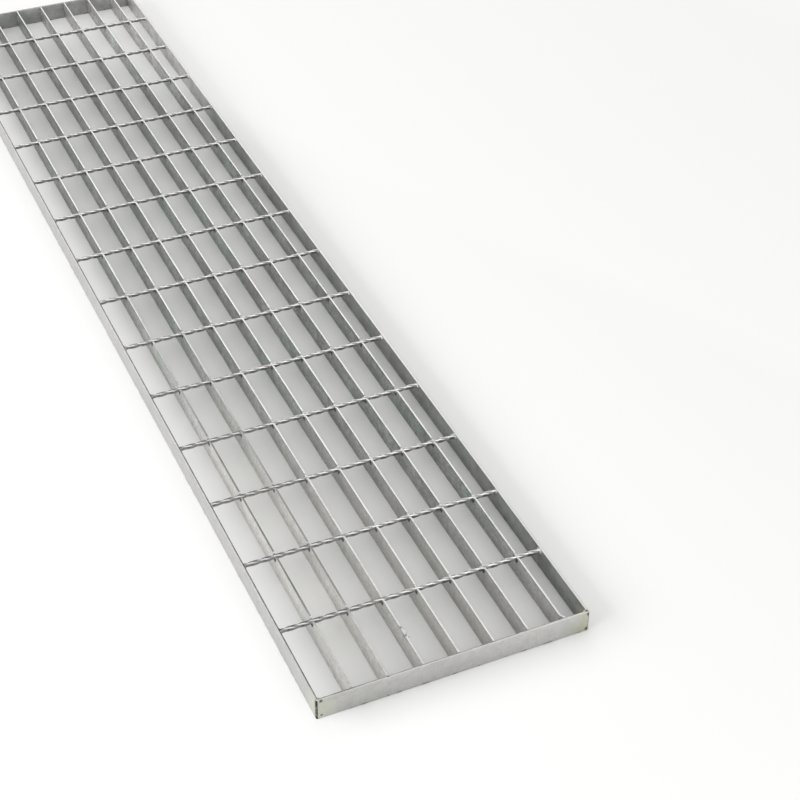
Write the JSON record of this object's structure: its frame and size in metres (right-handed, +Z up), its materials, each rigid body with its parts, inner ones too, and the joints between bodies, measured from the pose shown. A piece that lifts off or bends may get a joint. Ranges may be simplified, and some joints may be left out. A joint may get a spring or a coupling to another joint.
{
  "type": "steel grating panel",
  "caption": "Rectangular steel grating panel: flat bearing bars on edge, twisted square cross rods forged flush into their tops, and flat banding bars all round.",
  "frame": {"origin": "centre of the panel on its resting face", "axes": "+X along the length and the bearing bars, +Y across along the cross rods, +Z up out of the walking face"},
  "size_m": [1.5, 0.29, 0.025],
  "materials": {
    "galvanised_steel": "hot-dip galvanised, semi-bright zinc with faint clouding"
  },
  "bodies": {
    "root": {"mat": "galvanised_steel", "side_band_left": "galvanised_steel", "side_band_right": "galvanised_steel", "end_band_near": "galvanised_steel", "end_band_far": "galvanised_steel"}
  },
  "joints": []
}
